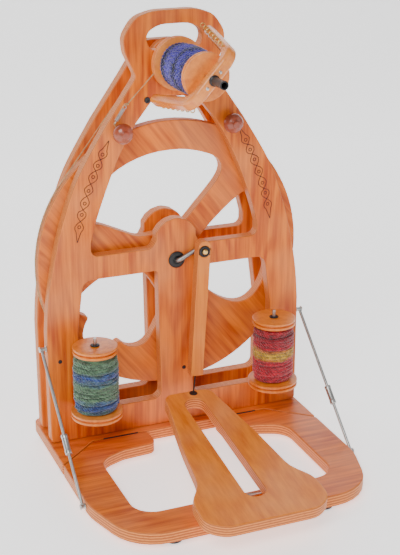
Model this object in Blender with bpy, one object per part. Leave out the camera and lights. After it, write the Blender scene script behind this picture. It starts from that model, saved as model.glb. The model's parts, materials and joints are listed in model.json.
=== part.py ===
"""Portable folding spinning wheel: plywood frames, single treadle, flyer and two bobbin pins.

Metres, +Z up, the front faces -Y. Pieces are placed from the front face of the front frame (y = 0
there), under one empty that moves them all so that the whole object stands centred on the origin.
"""
import math

import bpy
from mathutils import Vector

# Driving dimensions
PLY = 0.018                # thickness of every plywood plate
GAP = 0.0003               # between pieces that touch
FOOT_H = 0.009
FRAME_SHIFT = 0.1272       # front frame's front face, from the middle of the footprint
FRAME_HALF = 0.200         # half the width of the frames at the foot
LEG = 0.047                # width of a leg
SILL = 0.043               # height of the frame's bottom rail
CROSSBAR = 0.035           # height of the rail that carries the axle
POST_HALF = 0.026
REAR_FRAME_Y = 0.052       # front face of the rear frame
AXLE_Z = 0.290
AXLE_R = 0.0034            # the axle and its crank are one bent rod
WHEEL_R = 0.203
DRAWN_R = 0.203            # the wheel radius that its openings are drawn for
WHEEL_Y = 0.022            # front face of the wheel
CRANK_THROW = 0.0375
CRANK_ANGLE = math.radians(25)
FLYER_Z = 0.580
FLYER_ANGLE = math.radians(48)
BOW_FRONT = -0.138
BOW_WIDE = 0.018           # the bow's width, across its plane
BOW_THICK = 0.0135
WHORL_R = 0.0256
BAND_R = 0.0012
SHAFT_R = 0.0035           # bore for the flyer shaft
BASE_HALF = FRAME_HALF + 0.003
BASE_FRONT = -0.291
BASE_BAR = 0.054
BASE_REAR = 0.090
BOBBIN_LONG = 0.110
BOBBIN_BIG = 0.0375
BOBBIN_SMALL = 0.0325
BOBBIN_CORE = 0.012
YARN_LEFT, YARN_RIGHT, YARN_FLYER = BOBBIN_SMALL + 0.001, BOBBIN_SMALL - 0.001, BOBBIN_SMALL
PIN_R = 0.0025
RUN_GAP = 0.0006           # running clearance round a pin or a shaft
KATE_X = 0.141
KATE_Y = -(BOBBIN_BIG + 0.0025)
KATE_Z = 0.082             # underside of a bobbin on its pin
TREADLE_PIVOT = (-0.262, FOOT_H + PLY + 0.011)
TREADLE_TILT = math.radians(8)
TREADLE_REAR = 0.230       # pivot to rear end
TREADLE_FRONT = 0.080      # pivot to front end
TREADLE_LIFT = 0.005       # underside above the pivot's axis
FOOTMAN_WIDE = 0.020
FOOTMAN_THICK = 0.016
FOOTMAN_Y = -0.010         # its rear face
FOOTMAN_LONG = 0.197       # pin to lower end
FOOTMAN_LEAN = math.radians(3.5)
KNOB_X, KNOB_Z, KNOB_R = FRAME_HALF - 0.117, 0.489, 0.0145
STAY_X = BASE_HALF + 0.004
STAY_R = 0.0022

WOOD = ("lacquered_ply", (0.62, 0.24, 0.08), 0.35, 0.0)
PALE = ("golden_ply", (0.78, 0.40, 0.14), 0.38, 0.0)
STEEL = ("steel", (0.62, 0.63, 0.62), 0.3, 1.0)
BRASS = ("brass", (0.75, 0.55, 0.22), 0.3, 1.0)
BLACK = ("black_nylon", (0.02, 0.02, 0.02), 0.45, 0.0)
RUBBER = ("rubber", (0.03, 0.03, 0.03), 0.8, 0.0)
CORD = ("cord", (0.75, 0.55, 0.35), 0.85, 0.0)
BLUE = ("blue_yarn", (0.10, 0.22, 0.32), 0.95, 0.0)
RED = ("red_yarn", (0.55, 0.05, 0.12), 0.95, 0.0)
VIOLET = ("violet_yarn", (0.10, 0.08, 0.35), 0.95, 0.0)


def clear_scene():
    for obj in list(bpy.data.objects):
        bpy.data.objects.remove(obj, do_unlink=True)


def material(finish):
    name, colour, rough, metal = finish
    found = bpy.data.materials.get(name)
    if found:
        return found
    made = bpy.data.materials.new(name)
    made.use_nodes = True
    shader = made.node_tree.nodes["Principled BSDF"]
    shader.inputs["Base Color"].default_value = (*colour, 1)
    shader.inputs["Roughness"].default_value = rough
    shader.inputs["Metallic"].default_value = metal
    return made


def add(name, data, finish, place=(0, 0, 0), turn=(0, 0, 0)):
    obj = bpy.data.objects.new(name, data)
    bpy.context.scene.collection.objects.link(obj)
    obj.parent = bpy.data.objects["stand_origin"]
    obj.location = place
    obj.rotation_euler = turn
    data.materials.append(material(finish))
    return obj


# Outlines

def filleted(corners, step=math.radians(14)):
    """A closed outline through (x, y, radius) corners, each rounded by an arc."""
    points = []
    for i, (x, y, radius) in enumerate(corners):
        here = Vector((x, y))
        back = Vector(corners[i - 1][:2]) - here
        ahead = Vector(corners[(i + 1) % len(corners)][:2]) - here
        turn = math.pi - back.angle(ahead)
        if radius <= 0 or turn < 1e-3:
            points.append((x, y))
            continue
        reach = min(radius * math.tan(turn / 2), 0.49 * back.length, 0.49 * ahead.length)
        real = reach / math.tan(turn / 2)
        middle = here + (back.normalized() + ahead.normalized()).normalized() * (
            real / math.cos(turn / 2))
        start = here + back.normalized() * reach - middle
        way = 1 if back.x * ahead.y - back.y * ahead.x < 0 else -1
        count = max(2, math.ceil(turn / step))
        for k in range(count + 1):
            angle = way * turn * k / count
            points.append((middle.x + start.x * math.cos(angle) - start.y * math.sin(angle),
                           middle.y + start.x * math.sin(angle) + start.y * math.cos(angle)))
    return points


def smooth(knots, steps=5, closed=True):
    """A Catmull-Rom curve through the knots."""
    count = len(knots)
    at = [Vector(k) for k in knots]
    points = []
    for i in range(count if closed else count - 1):
        if closed:
            a, b, c, d = (at[(i + j) % count] for j in (-1, 0, 1, 2))
        else:
            a, b, c, d = (at[min(max(i + j, 0), count - 1)] for j in (-1, 0, 1, 2))
        for k in range(steps):
            t = k / steps
            points.append(tuple(0.5 * (2 * b + (c - a) * t + (2 * a - 5 * b + 4 * c - d) * t * t
                                       + (3 * b - a - 3 * c + d) * t ** 3)))
    if not closed:
        points.append(tuple(at[-1]))
    return points


def mirrored(half):
    """The whole outline from its right half, listed from the bottom up."""
    return half + [(-p[0], *p[1:]) for p in reversed(half)]


def circle(x, y, radius, count=24):
    return [(x + radius * math.cos(math.tau * k / count), y + radius * math.sin(math.tau * k / count))
            for k in range(count)]


UPRIGHT = (math.pi / 2, 0, 0)


def plate(name, loops, finish, place, turn=UPRIGHT, thick=PLY):
    """A flat board: the first loop is its outline, the others are openings through it."""
    curve = bpy.data.curves.new(name, "CURVE")
    curve.dimensions = "2D"
    curve.fill_mode = "BOTH"
    curve.extrude = thick / 2
    for loop in loops:
        spline = curve.splines.new("POLY")
        spline.points.add(len(loop) - 1)
        for point, (x, y) in zip(spline.points, loop):
            point.co = (x, y, 0, 1)
        spline.use_cyclic_u = True
    return add(name, curve, finish, place, turn)


def rod(name, points, radius, finish, closed=False, sides=2):
    """A round rod or cord along points."""
    curve = bpy.data.curves.new(name, "CURVE")
    curve.dimensions = "3D"
    curve.bevel_depth = radius
    curve.bevel_resolution = sides
    curve.use_fill_caps = True
    spline = curve.splines.new("POLY")
    spline.points.add(len(points) - 1)
    for point, where in zip(spline.points, points):
        point.co = (*where, 1)
    spline.use_cyclic_u = closed
    return add(name, curve, finish)


ALONG_Y = (-math.pi / 2, 0, 0)


def turned(name, profile, finish, place, turn=(0, 0, 0), count=28, ring=False):
    """A lathe solid about local Z. profile is (radius, height), from low to high on the outside;
    a ring's profile is a closed loop, and the others start and end on the axis."""
    rows, points = [], []
    for radius, height in profile:
        if radius == 0:
            rows.append([len(points)] * count)
            points.append((0, 0, height))
        else:
            rows.append(list(range(len(points), len(points) + count)))
            points += [(radius * math.cos(math.tau * k / count), radius * math.sin(math.tau * k / count),
                        height) for k in range(count)]
    pairs = list(zip(rows, rows[1:]))
    if ring:
        pairs.append((rows[-1], rows[0]))
    faces = []
    for low, high in pairs:
        for k in range(count):
            face = [low[k], low[(k + 1) % count], high[(k + 1) % count], high[k]]
            faces.append(list(dict.fromkeys(face)))
    mesh = bpy.data.meshes.new(name)
    mesh.from_pydata(points, [], faces)
    mesh.update()
    mesh.shade_smooth()
    mesh.set_sharp_from_angle(angle=math.radians(35))
    return add(name, mesh, finish, place, turn)


def tube_profile(inner, outer, low, high):
    return [(inner, low), (outer, low), (outer, high), (inner, high)]


# Frames

FRAME_Z = FOOT_H + PLY + GAP            # the frames stand on the rear base board
SILL_TOP = FRAME_Z + SILL
BAR_LOW = AXLE_Z - 0.014
BAR_HIGH = BAR_LOW + CROSSBAR
DOME_R = 0.034
BUSH_HOLE = 0.009
SPACER_X, SPACER_Z = 0.042, 0.530


def leg_outer():
    """The right leg's outer edge, from the foot to the neck."""
    foot = [(FRAME_HALF, FRAME_Z, 0.006), (FRAME_HALF, AXLE_Z - 0.09, 0)]
    arch = [(FRAME_HALF, AXLE_Z - 0.09), (FRAME_HALF - 0.004, AXLE_Z - 0.042),
            (FRAME_HALF - 0.013, AXLE_Z + 0.010), (FRAME_HALF - 0.026, AXLE_Z + 0.062),
            (FRAME_HALF - 0.043, AXLE_Z + 0.112), (FRAME_HALF - 0.061, AXLE_Z + 0.150),
            (FRAME_HALF - 0.095, AXLE_Z + 0.205)]
    return foot + [(x, z, 0) for x, z in smooth(arch, 3, closed=False)[1:]]


def upper_window(top_z, top_half):
    right = [(FRAME_HALF - 0.0705, BAR_HIGH, 0.012)]
    side = [(FRAME_HALF - 0.0705, BAR_HIGH + 0.020), (FRAME_HALF - 0.080, AXLE_Z + 0.075),
            (FRAME_HALF - 0.104, AXLE_Z + 0.138), (FRAME_HALF - 0.122, AXLE_Z + 0.176),
            (FRAME_HALF - 0.141, AXLE_Z + 0.208)]
    right += [(x, z, 0) for x, z in smooth(side, 3, closed=False)]
    right += [(top_half, top_z, 0.012)]
    dome = [(DOME_R + 0.004, BAR_HIGH, 0.010), (DOME_R - 0.003, BAR_HIGH + 0.012, 0.006)]
    arc = [(DOME_R * math.cos(a), BAR_HIGH + 0.008 + DOME_R * math.sin(a), 0)
           for a in (math.radians(d) for d in (25, 45, 65, 85))]
    half = list(reversed(arc)) + list(reversed(dome)) + right
    return filleted(mirrored(half))


def lower_window(side):
    corners = [(POST_HALF, SILL_TOP, 0.012), (FRAME_HALF - LEG, SILL_TOP, 0.012),
               (FRAME_HALF - LEG, AXLE_Z - 0.09, 0), (FRAME_HALF - 0.057, BAR_LOW, 0.016),
               (POST_HALF + 0.003, BAR_LOW, 0.005)]
    return filleted([(side * x, z, r) for x, z, r in corners])


def front_frame():
    neck = [(0.0575, FLYER_Z - 0.017, 0.010), (0.073, FLYER_Z + 0.016, 0.020),
            (0.0755, FLYER_Z + 0.038, 0.026), (0.058, FLYER_Z + 0.064, 0.030),
            (0.030, FLYER_Z + 0.072, 0.060)]
    handle = mirrored([(0.036, FLYER_Z + 0.018, 0.012), (0.044, FLYER_Z + 0.040, 0.014),
                       (0.024, FLYER_Z + 0.053, 0.040)])
    loops = [filleted(mirrored(leg_outer() + neck)), upper_window(FLYER_Z - 0.046, 0.030),
             lower_window(1), lower_window(-1), filleted(handle),
             circle(0, AXLE_Z, BUSH_HOLE), circle(0, FLYER_Z, BUSH_HOLE)]
    plate("front_frame", loops, WOOD, (0, PLY / 2, 0))


def rear_frame():
    crown = [(0.062, FLYER_Z - 0.024, 0.040), (0.030, FLYER_Z + 0.024, 0.030)]
    loops = [filleted(mirrored(leg_outer() + crown)), upper_window(FLYER_Z - 0.060, 0.036),
             lower_window(1), lower_window(-1), circle(0, AXLE_Z, BUSH_HOLE)]
    plate("rear_frame", loops, WOOD, (0, REAR_FRAME_Y + PLY / 2, 0))


def frame_fittings():
    for name, y in (("axle_bush_front", 0), ("axle_bush_rear", REAR_FRAME_Y + PLY)):
        out = -1 if y == 0 else 1
        inner = AXLE_R + RUN_GAP
        profile = [(inner, -PLY), (BUSH_HOLE - GAP, -PLY), (BUSH_HOLE - GAP, GAP),
                   (0.0125, GAP), (0.0118, 0.0028), (inner, 0.003)]
        turned(name, profile, BLACK, (0, y, AXLE_Z), (math.pi / 2 * -out, 0, 0), ring=True)
    turned("flyer_bush", tube_profile(SHAFT_R + RUN_GAP, BUSH_HOLE - GAP, 0, PLY), BLACK,
           (0, 0, FLYER_Z), ALONG_Y, ring=True)
    length = REAR_FRAME_Y - PLY - 2 * GAP
    for side, word in ((-1, "left"), (1, "right")):
        turned(f"spacer_{word}", [(0, 0), (0.007, 0), (0.007, length), (0, length)], PALE,
               (side * SPACER_X, PLY + GAP, SPACER_Z), ALONG_Y, count=16)
        turned(f"tie_bolt_{word}", [(0, GAP), (0.0045, GAP), (0.004, 0.002), (0, 0.0026)], BLACK,
               (side * SPACER_X, 0, SPACER_Z), (math.pi / 2, 0, 0), count=16)


# Base

def base_rear():
    half = [(BASE_HALF, BASE_REAR, 0.010), (BASE_HALF, -0.068, 0.002), (0.141, -0.0135, 0.002)]
    plate("base_rear", [filleted(mirrored([(x, y, r) for x, y, r in reversed(half)]))], WOOD,
          (0, 0, FOOT_H + PLY / 2), (0, 0, 0))


def base_front():
    outer = [(BASE_HALF - 0.030, BASE_FRONT, 0.075), (BASE_HALF, BASE_FRONT + 0.100, 0.090),
             (BASE_HALF, -0.0705, 0.002), (0.1405, -0.0155, 0.002), (0.055, -0.0155, 0.006),
             (0.055, -0.053, 0.012), (0.108, -0.057, 0.030), (0.149, -0.074, 0.030),
             (BASE_HALF - BASE_BAR, BASE_FRONT + BASE_BAR, 0.032)]
    left = [(-x, y, r) for x, y, r in reversed(outer)]
    plate("base_front", [filleted(outer + left)], WOOD, (0, 0, FOOT_H + PLY / 2), (0, 0, 0))


def feet_and_hinges():
    high = FOOT_H - GAP
    spots = (("rear", BASE_HALF - 0.015, 0.072, 0.010), ("middle", BASE_HALF - 0.013, -0.040, 0.010),
             ("front", 0.112, BASE_FRONT + 0.020, 0.013))
    for side, word in ((-1, "left"), (1, "right")):
        for where, x, y, radius in spots:
            turned(f"foot_{where}_{word}", [(0, 0), (radius * 0.8, 0), (radius, 0.003),
                                            (radius, high), (0, high)], RUBBER, (side * x, y, 0), count=18)
        leaf = [(side * 0.078, -0.034), (side * 0.116, -0.034), (side * 0.116, 0.004),
                (side * 0.078, 0.004)]
        plate(f"base_hinge_{word}", [leaf], STEEL, (0, 0, FOOT_H - GAP - 0.001), (0, 0, 0), 0.002)


def stay(side, word):
    top = Vector((side * STAY_X, 0.006, 0.178))
    low = Vector((side * STAY_X, -0.174, FOOT_H + PLY / 2))
    along = (low - top).normalized()
    knuckle = top.lerp(low, 0.58)
    rod(f"stay_upper_{word}", [top, knuckle - along * 0.0005], STAY_R, STEEL)
    rod(f"stay_lower_{word}", [knuckle + along * 0.0005, low], STAY_R, STEEL)
    turn = along.to_track_quat("Z", "Y").to_euler()
    turned(f"stay_sleeve_{word}", tube_profile(STAY_R + GAP, 0.0048, -0.006, 0.024), STEEL,
           tuple(knuckle), tuple(turn), count=16, ring=True)
    for where, point, face in (("upper", top, FRAME_HALF), ("lower", low, BASE_HALF)):
        length = STAY_X - STAY_R - face - 2 * GAP
        turned(f"stay_stud_{where}_{word}", [(0, 0), (0.0035, 0), (0.0035, length), (0, length)], STEEL,
               (side * (face + GAP), point.y, point.z), (0, side * math.pi / 2, 0), count=14)


# Wheel, crank and footman

def wheel_openings():
    """Three openings between the flared spokes, about the hub; one has a round lobe at the rim."""
    upper = [(0.012, 0.042), (0.044, 0.074), (0.072, 0.105), (0.081, 0.124), (0.074, 0.140),
             (0.052, 0.151), (0.015, 0.159), (-0.034, 0.156), (-0.080, 0.138), (-0.122, 0.103),
             (-0.140, 0.078), (-0.132, 0.064), (-0.108, 0.060), (-0.074, 0.045), (-0.050, 0.035),
             (-0.022, 0.036)]
    right = [(0.044, 0.020), (0.074, 0.052), (0.106, 0.078), (0.126, 0.086), (0.140, 0.075),
             (0.154, 0.040), (0.160, 0.000), (0.156, -0.040), (0.146, -0.068), (0.128, -0.087),
             (0.108, -0.091), (0.084, -0.082), (0.058, -0.062), (0.040, -0.036), (0.040, -0.008)]
    lower = [(-0.046, -0.020), (-0.080, -0.012), (-0.110, -0.021), (-0.140, -0.042),
             (-0.149, -0.058), (-0.144, -0.072), (-0.131, -0.080), (-0.136, -0.092), (-0.139, -0.110),
             (-0.128, -0.130), (-0.108, -0.137), (-0.093, -0.132), (-0.083, -0.126), (-0.070, -0.136),
             (-0.052, -0.138), (-0.037, -0.128), (-0.022, -0.102), (-0.012, -0.078), (-0.024, -0.050)]
    grow = WHEEL_R / DRAWN_R
    return [[(x * grow, AXLE_Z + z * grow) for x, z in smooth(k, 3)] for k in (upper, right, lower)]


def drive_wheel():
    loops = [circle(0, AXLE_Z, WHEEL_R, 96), *wheel_openings(), circle(0, AXLE_Z, AXLE_R + GAP, 16)]
    plate("drive_wheel", loops, WOOD, (0, WHEEL_Y + PLY / 2, 0))


def crank_pin():
    return (CRANK_THROW * math.cos(CRANK_ANGLE), AXLE_Z + CRANK_THROW * math.sin(CRANK_ANGLE))


ARM_Y = -(AXLE_R + 0.0031)  # middle of the crank arm, clear of the bush lip
PIN_HOLE = 0.0085
PIN_LONG = FOOTMAN_THICK + 0.001


def crank():
    x, z = crank_pin()
    bend = 0.15
    points = [(0, REAR_FRAME_Y + PLY + 0.005, AXLE_Z), (0, ARM_Y + 0.002, AXLE_Z),
              (x * bend / 3, ARM_Y, AXLE_Z + (z - AXLE_Z) * bend / 3),
              (x * (1 - bend / 3), ARM_Y, AXLE_Z + (z - AXLE_Z) * (1 - bend / 3)),
              (x, ARM_Y - 0.0015, z), (x, FOOTMAN_Y - PIN_LONG, z)]
    rod("axle_crank", points, AXLE_R, STEEL, sides=3)


def hang(sideways, down):
    """A point in the footman's own plane: sideways, and down from the pin."""
    x, z = crank_pin()
    c, s = math.cos(FOOTMAN_LEAN), math.sin(FOOTMAN_LEAN)
    return (x + sideways * c - down * s, z - sideways * s - down * c)


def footman():
    x, z = crank_pin()
    half = FOOTMAN_WIDE / 2
    corners = [(-half, FOOTMAN_LONG, 0.002), (half, FOOTMAN_LONG, 0.002), (half, -0.016, half - 0.0005),
               (-half, -0.016, half - 0.0005)]
    outline = filleted([(*hang(u, v), r) for u, v, r in corners])
    middle = FOOTMAN_Y - FOOTMAN_THICK / 2
    plate("footman", [outline, circle(x, z, PIN_HOLE)], PALE, (0, middle, 0), UPRIGHT, FOOTMAN_THICK)
    turned("footman_bush", tube_profile(AXLE_R + RUN_GAP, PIN_HOLE - GAP, 0, PIN_LONG), BLACK,
           (x, FOOTMAN_Y, z), (math.pi / 2, 0, 0), count=24, ring=True)
    turned("crank_pin_cap", [(0, 0), (0.0042, 0), (0.0036, 0.0025), (0, 0.003)], BRASS,
           (x, FOOTMAN_Y - PIN_LONG - GAP, z), (math.pi / 2, 0, 0), count=18)


def treadle_point(along, up):
    """World y and z of a point on the treadle: towards its rear end, and above its pivot."""
    c, s = math.cos(TREADLE_TILT), math.sin(TREADLE_TILT)
    return (TREADLE_PIVOT[0] + along * c - up * s, TREADLE_PIVOT[1] + along * s + up * c)


STRAP_ALONG = TREADLE_REAR - 0.008      # pivot to the hole for the link
STRAP_X = 0.008
LINK_R = 0.0012


def con_rod():
    x, z = hang(0, FOOTMAN_LONG)
    y2, z2 = treadle_point(STRAP_ALONG, TREADLE_LIFT + PLY)
    start = Vector((x, FOOTMAN_Y - FOOTMAN_THICK / 2, z - 0.0018))
    rod("con_rod_cord", [start, Vector((STRAP_X, y2, z2 + GAP + LINK_R))], LINK_R, STEEL)


# Treadle

def treadle():
    rear, front = TREADLE_REAR, -TREADLE_FRONT
    half = [(0.066, front, 0.034), (0.091, front + 0.018, 0.030), (0.090, front + 0.064, 0.040),
            (0.068, front + 0.096, 0.050), (0.058, front + 0.180, 0.4), (0.041, rear - 0.030, 0.2),
            (0.038, rear, 0.026)]
    slot = mirrored([(0.0155, rear - 0.262, 0.0150), (0.0155, rear - 0.021, 0.0150)])
    plate("treadle", [filleted(mirrored(half)), filleted(slot)], PALE,
          tuple(Vector((0, *treadle_point(0, TREADLE_LIFT + PLY / 2)))), (TREADLE_TILT, 0, 0))


def treadle_hinge():
    y, z = TREADLE_PIVOT
    base_top = FOOT_H + PLY
    rod("treadle_hinge_pin", [(-0.060, y, z), (0.060, y, z)], PIN_R, STEEL, sides=3)
    for side, word in ((-1, "left"), (1, "right")):
        cheek = filleted([(-0.007, base_top + GAP - z, 0), (0.007, base_top + GAP - z, 0),
                          (0.0042, 0.0040, 0.003), (-0.0042, 0.0040, 0.003)])
        plate(f"treadle_bracket_{word}", [cheek, circle(0, 0, PIN_R + GAP, 14)], STEEL,
              (side * 0.050, y, z), (math.pi / 2, 0, math.pi / 2), 0.006)
        lug = [(-0.006, -0.0045), (0.006, -0.0045), (0.008, TREADLE_LIFT - GAP),
               (-0.008, TREADLE_LIFT - GAP)]
        c, s = math.cos(TREADLE_TILT), math.sin(TREADLE_TILT)
        lug = [(u * c - v * s, u * s + v * c) for u, v in lug]
        plate(f"treadle_lug_{word}", [lug, circle(0, 0, PIN_R + GAP, 14)], STEEL,
              (side * 0.040, y, z), (math.pi / 2, 0, math.pi / 2), 0.006)


# Flyer and bobbins

def bobbin(name, place, turn, yarn, finish, big_end_low=True):
    low, high = (BOBBIN_BIG, BOBBIN_SMALL) if big_end_low else (BOBBIN_SMALL, BOBBIN_BIG)
    disc, groove = 0.0038, 0.0026
    bore = PIN_R + 2 * RUN_GAP + 0.0006
    long = BOBBIN_LONG

    def flange(radius, z):
        return [(radius, z), (radius, z + disc), (radius - 0.004, z + disc),
                (radius - 0.004, z + disc + groove), (radius, z + disc + groove),
                (radius, z + 2 * disc + groove)]
    thick = 2 * disc + groove
    profile = [(bore, 0), *flange(low, 0), (BOBBIN_CORE, thick), (BOBBIN_CORE, long - thick),
               *flange(high, long - thick), (bore, long)]
    turned(name, profile, PALE, place, turn, count=36, ring=True)
    a, b = thick + 2 * GAP, long - thick - 2 * GAP
    fat = [(yarn * share, a + (b - a) * t) for share, t in
           ((0.90, 0), (0.97, 0.12), (1.0, 0.35), (1.0, 0.6), (0.96, 0.85), (0.88, 1.0))]
    turned(name + "_yarn", [(BOBBIN_CORE + GAP, a), *fat, (BOBBIN_CORE + GAP, b)], finish, place, turn,
           count=32, ring=True)


def kate(side, word, yarn, finish):
    """A bobbin on its bent steel pin."""
    x = side * KATE_X
    z = KATE_Z - 0.006
    rod(f"bobbin_pin_{word}", [(x, -GAP, z), (x, KATE_Y + 0.004, z), (x, KATE_Y + 0.001, z + 0.001),
                               (x, KATE_Y, z + 0.0035), (x, KATE_Y, KATE_Z + BOBBIN_LONG + 0.013)],
        PIN_R, STEEL, sides=3)
    bobbin(f"bobbin_{word}", (x, KATE_Y, KATE_Z), (0, 0, 0), yarn, finish)
    turned(f"bobbin_bush_{word}", tube_profile(PIN_R + RUN_GAP, 0.007, 0, 0.0016), BLACK,
           (x, KATE_Y, KATE_Z + BOBBIN_LONG + GAP), count=20, ring=True)


BOBBIN_BACK = -0.005
TUBE_R, TUBE_LONG, TUBE_WALL = 0.006, 0.034, 0.0015


def flyer():
    inner = BOBBIN_SMALL + 0.002
    outer = inner + BOW_THICK
    splay = 0.019
    back = BOBBIN_BACK - 0.022
    front, rear = BOW_FRONT, BOW_FRONT + BOW_THICK + 0.001
    right = [(outer - 0.001, front, 0.026), (outer + splay, back, 0.005),
             (outer + splay - 0.013, back, 0.005), (inner, rear, 0.016)]
    left = [(-x, y, r) for x, y, r in reversed(right)]
    plate("flyer_bow", [filleted(right + left)], PALE, (0, 0, FLYER_Z), (0, -FLYER_ANGLE, 0), BOW_WIDE)
    turned("orifice_tube", [(0, 0), (TUBE_R, 0), (TUBE_R, TUBE_LONG), (TUBE_R - TUBE_WALL, TUBE_LONG),
                            (TUBE_R - TUBE_WALL, 0.010), (0, 0.010)],
           BLACK, (0, BOW_FRONT - GAP, FLYER_Z), (math.pi / 2, 0, 0), count=24)
    start, end = BOW_FRONT + BOW_THICK + 0.001 + GAP, REAR_FRAME_Y - 0.002
    turned("flyer_shaft", [(0, start), (SHAFT_R - RUN_GAP, start), (SHAFT_R - RUN_GAP, end), (0, end)],
           STEEL, (0, 0, FLYER_Z), ALONG_Y, count=16)
    bobbin("flyer_bobbin", (0, BOBBIN_BACK, FLYER_Z), (math.pi / 2, 0, 0), YARN_FLYER, VIOLET)


def whorl():
    """The grooved pulley behind the neck; its large groove is in the drive wheel's plane."""
    groove = WHEEL_Y + PLY / 2
    small = WHORL_R * 0.72
    lip, root = WHORL_R + 0.003, WHORL_R - 0.0014
    profile = [(SHAFT_R, groove - 0.006), (lip, groove - 0.006), (root, groove - 0.001),
               (root, groove + 0.001), (lip, groove + 0.006),
               (small + 0.003, groove + 0.0075), (small, groove + 0.010), (small + 0.003, groove + 0.0125),
               (small + 0.003, groove + 0.014), (SHAFT_R, groove + 0.014)]
    turned("flyer_whorl", profile, PALE, (0, 0, FLYER_Z), ALONG_Y, count=36, ring=True)


def drive_band():
    """A cord round the wheel's rim and the whorl, leaving both on their common tangents."""
    big = WHEEL_R + BAND_R + GAP
    small = WHORL_R + BAND_R + GAP - 0.0014 + 0.0004
    lean = math.acos((big - small) / (FLYER_Z - AXLE_Z))
    y = WHEEL_Y + PLY / 2
    low_arc = [math.pi / 2 - lean - k * (math.tau - 2 * lean) / 56 for k in range(57)]
    points = [(big * math.cos(a), y, AXLE_Z + big * math.sin(a)) for a in low_arc]
    top_arc = [math.pi / 2 + lean - k * 2 * lean / 10 for k in range(11)]
    points += [(small * math.cos(a), y, FLYER_Z + small * math.sin(a)) for a in top_arc]
    rod("drive_band", points, BAND_R, CORD, closed=True, sides=1)


def knob(side, word):
    profile = [(0, GAP), (0.005, GAP), (0.005, 0.004), (0.010, 0.006), (KNOB_R, 0.012), (KNOB_R, 0.018),
               (0.0115, 0.023), (0.0065, 0.0255), (0.0060, 0.027), (0, 0.0275)]
    turned(f"brake_knob_{word}", profile, WOOD, (side * KNOB_X, 0, KNOB_Z), (math.pi / 2, 0, 0), count=28)


def brake():
    """A cord from the bobbin's groove down to a spring, which is tied to the left knob."""
    y = -0.008
    top, ring = (-(BOBBIN_BIG + 0.001), y, FLYER_Z - 0.006), (-0.0785, y, 0.5235)
    rod("brake_cord", [top, ring], 0.0009, CORD, sides=1)
    a, b = Vector((-0.0795, y, 0.5220)), Vector((-0.0905, y, 0.5070))
    rod("brake_spring", [a, b], 0.0030, STEEL)


def build():
    clear_scene()
    origin = bpy.data.objects.new("stand_origin", None)
    bpy.context.scene.collection.objects.link(origin)
    origin.location = (0, FRAME_SHIFT, 0)
    front_frame()
    rear_frame()
    frame_fittings()
    base_rear()
    base_front()
    feet_and_hinges()
    for side, word in ((-1, "left"), (1, "right")):
        stay(side, word)
        knob(side, word)
    drive_wheel()
    crank()
    footman()
    con_rod()
    treadle()
    treadle_hinge()
    kate(-1, "left", YARN_LEFT, BLUE)
    kate(1, "right", YARN_RIGHT, RED)
    flyer()
    whorl()
    drive_band()
    brake()


build()
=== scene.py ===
"""Looks of the upright spinning wheel: lacquered plywood, turned bobbins, wound yarn, steel
fittings and the studio. Metres, +Z up, the front faces -Y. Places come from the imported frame."""

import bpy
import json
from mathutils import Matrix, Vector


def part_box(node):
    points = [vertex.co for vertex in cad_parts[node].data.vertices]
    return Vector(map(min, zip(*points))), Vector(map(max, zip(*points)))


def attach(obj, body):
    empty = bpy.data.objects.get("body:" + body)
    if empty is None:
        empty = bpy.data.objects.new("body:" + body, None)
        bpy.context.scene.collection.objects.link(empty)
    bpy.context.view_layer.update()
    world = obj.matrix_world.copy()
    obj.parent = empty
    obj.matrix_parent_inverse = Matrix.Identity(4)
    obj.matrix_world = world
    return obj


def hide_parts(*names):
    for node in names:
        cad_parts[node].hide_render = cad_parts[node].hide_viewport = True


bl_info = {
    "name": "Spinning Wheel Looks",
    "version": (1, 0, 0),
    "blender": (4, 5, 0),
    "location": "3D View > Sidebar > Spinning Wheel",
    "description": "Builds the visible pieces and finishes of an upright plywood spinning wheel",
    "category": "Object",
}

import json
import math
import random

import bmesh
import bpy
from bpy.props import FloatProperty, FloatVectorProperty, IntProperty, PointerProperty
from mathutils import Matrix, Quaternion, Vector, noise

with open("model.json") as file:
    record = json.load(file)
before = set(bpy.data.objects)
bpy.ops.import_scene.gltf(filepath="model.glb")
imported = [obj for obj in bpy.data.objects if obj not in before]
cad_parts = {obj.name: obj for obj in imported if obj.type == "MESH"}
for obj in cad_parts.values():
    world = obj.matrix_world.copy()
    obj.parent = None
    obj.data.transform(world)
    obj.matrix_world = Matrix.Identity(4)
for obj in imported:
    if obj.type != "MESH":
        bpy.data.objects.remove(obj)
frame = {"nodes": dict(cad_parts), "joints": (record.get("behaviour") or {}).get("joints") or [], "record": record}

UP = Vector((0, 0, 1))
RIGHT = Vector((1, 0, 0))
TO_FRONT = Vector((0, -1, 0))
TO_BACK = Vector((0, 1, 0))


def middle(node):
    low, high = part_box(node)
    return (low + high) / 2


def joint(name):
    """A joint's place."""
    return Vector(next(j for j in frame["joints"] if j["name"] == name)["pos_m"])


FRONT_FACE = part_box("front_frame")[0].y        # front face of the front frame
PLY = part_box("front_frame")[1].y - FRONT_FACE
AXLE = joint("wheel_spin")
SPINDLE = joint("flyer_spin")
PIN = joint("footman_swing")
TREADLE_TILT = math.radians(8)
FLYER_LEAN = math.radians(48)                  # the flyer's arms, up from level on the right
ARM_WAY = Vector((math.cos(FLYER_LEAN), 0, math.sin(FLYER_LEAN)))
CRANK_ROD = 0.0034                             # radius of the bent axle
ARM_OUT = 0.0065                               # its arm, in front of the front frame
AXLE_BORE, BOBBIN_BORE, PIN_BORE, WHORL_BORE = 0.0040, 0.0043, 0.0031, 0.0036
LINK_ROD = 0.0012                              # radius of the footman's flexible link
COIL, SPRING_WIRE = 0.0024, 0.00048            # radii of the brake spring and of its wire
TWINE, TWINE_TWIST, BAND_TWIST = 0.00042, 0.0032, 0.0055
SEAM_OUT, GAP_SHADE_HALF = 0.0145, 0.027            # the base's hinge slots, where a dark rod is painted shade: its offset in front and half its length
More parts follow.
